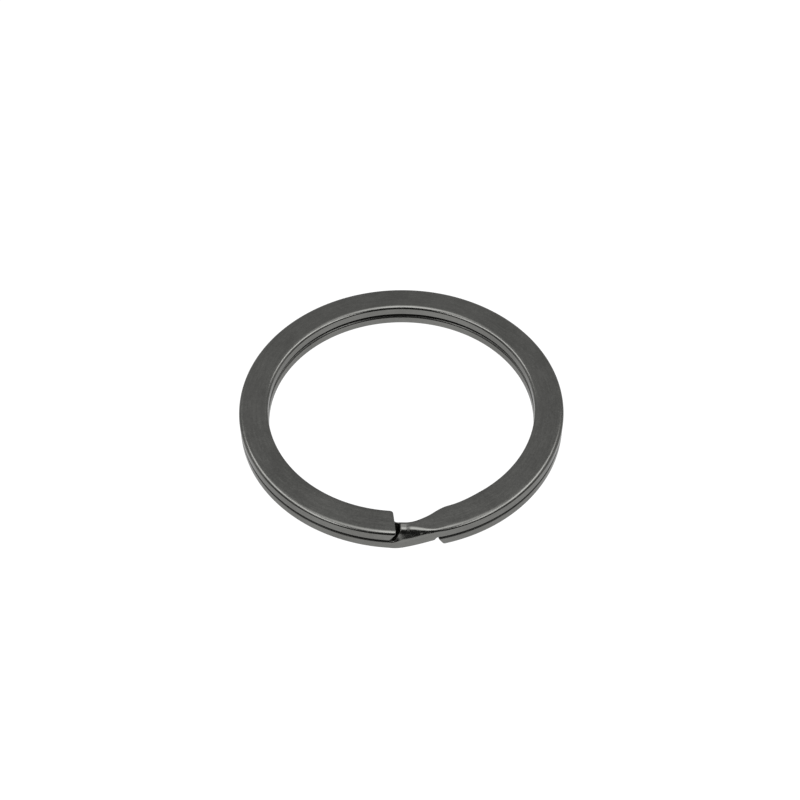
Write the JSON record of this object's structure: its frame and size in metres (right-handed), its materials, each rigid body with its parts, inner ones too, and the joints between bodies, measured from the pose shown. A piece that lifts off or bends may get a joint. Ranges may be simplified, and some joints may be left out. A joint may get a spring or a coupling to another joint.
{
  "type": "split key ring",
  "caption": "Flat split key ring: one flat spring strip wound into two stacked turns, with a crossover neck; either end springs open to take a key.",
  "frame": {"origin": "on the ring's axis, at its underside, which is the flat lower face of the lower turn", "axes": "+Z along the ring's axis, from the lower turn to the upper turn; -Y towards the crossover; +X to the right seen from the crossover"},
  "size_m": [0.032, 0.032, 0.0024],
  "materials": {
    "strip": "satin black-nickel plate"
  },
  "bodies": {
    "ring_body": {"crossover": "strip", "upper_turn_fixed": "strip", "lower_turn_fixed": "strip"},
    "upper_spring_1": {"upper_leaf_1": "strip"},
    "upper_spring_2": {"upper_leaf_2": "strip"},
    "upper_spring_3": {"upper_leaf_3": "strip"},
    "upper_spring_4": {"upper_leaf_4": "strip"},
    "upper_spring_5": {"upper_leaf_5": "strip"},
    "upper_spring_6": {"upper_leaf_6": "strip"},
    "upper_spring_7": {"upper_leaf_7": "strip"},
    "upper_spring_8": {"upper_leaf_8": "strip"},
    "lower_spring_1": {"lower_leaf_1": "strip"},
    "lower_spring_2": {"lower_leaf_2": "strip"},
    "lower_spring_3": {"lower_leaf_3": "strip"},
    "lower_spring_4": {"lower_leaf_4": "strip"},
    "lower_spring_5": {"lower_leaf_5": "strip"},
    "lower_spring_6": {"lower_leaf_6": "strip"},
    "lower_spring_7": {"lower_leaf_7": "strip"},
    "lower_spring_8": {"lower_leaf_8": "strip"}
  },
  "joints": [
    {"name": "upper_turn_opens", "type": "hinge", "parent": "ring_body", "child": "upper_spring_1", "pos_m": [0, 0.01457, 0.0024], "axis": [-0.9968, 0.0801, 0], "range_deg": [0, 1.05], "stiffness_Nm_per_rad": 69.7},
    {"name": "upper_flex_2", "type": "hinge", "parent": "upper_spring_1", "child": "upper_spring_2", "pos_m": [-0.00534, 0.01356, 0.0024], "axis": [-0.9967, -0.0813, 0], "range_deg": [0, 1.05]},
    {"name": "upper_flex_3", "type": "hinge", "parent": "upper_spring_2", "child": "upper_spring_3", "pos_m": [-0.00994, 0.01066, 0.0024], "axis": [-0.9692, -0.2464, 0], "range_deg": [0, 1]},
    {"name": "upper_flex_4", "type": "hinge", "parent": "upper_spring_3", "child": "upper_spring_4", "pos_m": [-0.01316, 0.00628, 0.0024], "axis": [-0.9109, -0.4126, 0], "range_deg": [0, 0.91]},
    {"name": "upper_flex_5", "type": "hinge", "parent": "upper_spring_4", "child": "upper_spring_5", "pos_m": [-0.01454, 0.00102, 0.0024], "axis": [-0.8187, -0.5743, 0], "range_deg": [0, 0.8]},
    {"name": "upper_flex_6", "type": "hinge", "parent": "upper_spring_5", "child": "upper_spring_6", "pos_m": [-0.0139, -0.00438, 0.0024], "axis": [-0.6914, -0.7225, 0], "range_deg": [0, 0.64]},
    {"name": "upper_flex_7", "type": "hinge", "parent": "upper_spring_6", "child": "upper_spring_7", "pos_m": [-0.01133, -0.00917, 0.0024], "axis": [-0.5312, -0.8473, 0], "range_deg": [0, 0.46]},
    {"name": "upper_flex_8", "type": "hinge", "parent": "upper_spring_7", "child": "upper_spring_8", "pos_m": [-0.00718, -0.01269, 0.0024], "axis": [-0.344, -0.939, 0], "range_deg": [0, 0.24]},
    {"name": "lower_turn_opens", "type": "hinge", "parent": "ring_body", "child": "lower_spring_1", "pos_m": [0, 0.01457, 0], "axis": [0.9982, 0.0601, 0], "range_deg": [0, 1.04], "stiffness_Nm_per_rad": 69.5},
    {"name": "lower_flex_2", "type": "hinge", "parent": "lower_spring_1", "child": "lower_spring_2", "pos_m": [0.0054, 0.01354, 0], "axis": [0.9947, -0.1027, 0], "range_deg": [0, 1.04]},
    {"name": "lower_flex_3", "type": "hinge", "parent": "lower_spring_2", "child": "lower_spring_3", "pos_m": [0.01003, 0.01057, 0], "axis": [0.9633, -0.2685, 0], "range_deg": [0, 0.99]},
    {"name": "lower_flex_4", "type": "hinge", "parent": "lower_spring_3", "child": "lower_spring_4", "pos_m": [0.01324, 0.0061, 0], "axis": [0.9006, -0.4347, 0], "range_deg": [0, 0.91]},
    {"name": "lower_flex_5", "type": "hinge", "parent": "lower_spring_4", "child": "lower_spring_5", "pos_m": [0.01456, 0.00076, 0], "axis": [0.8035, -0.5954, 0], "range_deg": [0, 0.79]},
    {"name": "lower_flex_6", "type": "hinge", "parent": "lower_spring_5", "child": "lower_spring_6", "pos_m": [0.0138, -0.00468, 0], "axis": [0.6709, -0.7415, 0], "range_deg": [0, 0.64]},
    {"name": "lower_flex_7", "type": "hinge", "parent": "lower_spring_6", "child": "lower_spring_7", "pos_m": [0.01108, -0.00947, 0], "axis": [0.5054, -0.8629, 0], "range_deg": [0, 0.46]},
    {"name": "lower_flex_8", "type": "hinge", "parent": "lower_spring_7", "child": "lower_spring_8", "pos_m": [0.00679, -0.0129, 0], "axis": [0.3134, -0.9496, 0], "range_deg": [0, 0.24]}
  ],
  "couplings": [
    {"joint": "upper_flex_2", "follows": "upper_turn_opens", "ratio": 0.9787},
    {"joint": "upper_flex_3", "follows": "upper_turn_opens", "ratio": 0.9306},
    {"joint": "upper_flex_4", "follows": "upper_turn_opens", "ratio": 0.852},
    {"joint": "upper_flex_5", "follows": "upper_turn_opens", "ratio": 0.7396},
    {"joint": "upper_flex_6", "follows": "upper_turn_opens", "ratio": 0.5928},
    {"joint": "upper_flex_7", "follows": "upper_turn_opens", "ratio": 0.4151},
    {"joint": "upper_flex_8", "follows": "upper_turn_opens", "ratio": 0.2139},
    {"joint": "lower_flex_2", "follows": "lower_turn_opens", "ratio": 0.9807},
    {"joint": "lower_flex_3", "follows": "lower_turn_opens", "ratio": 0.9343},
    {"joint": "lower_flex_4", "follows": "lower_turn_opens", "ratio": 0.8568},
    {"joint": "lower_flex_5", "follows": "lower_turn_opens", "ratio": 0.745},
    {"joint": "lower_flex_6", "follows": "lower_turn_opens", "ratio": 0.598},
    {"joint": "lower_flex_7", "follows": "lower_turn_opens", "ratio": 0.4192},
    {"joint": "lower_flex_8", "follows": "lower_turn_opens", "ratio": 0.2162}
  ]
}
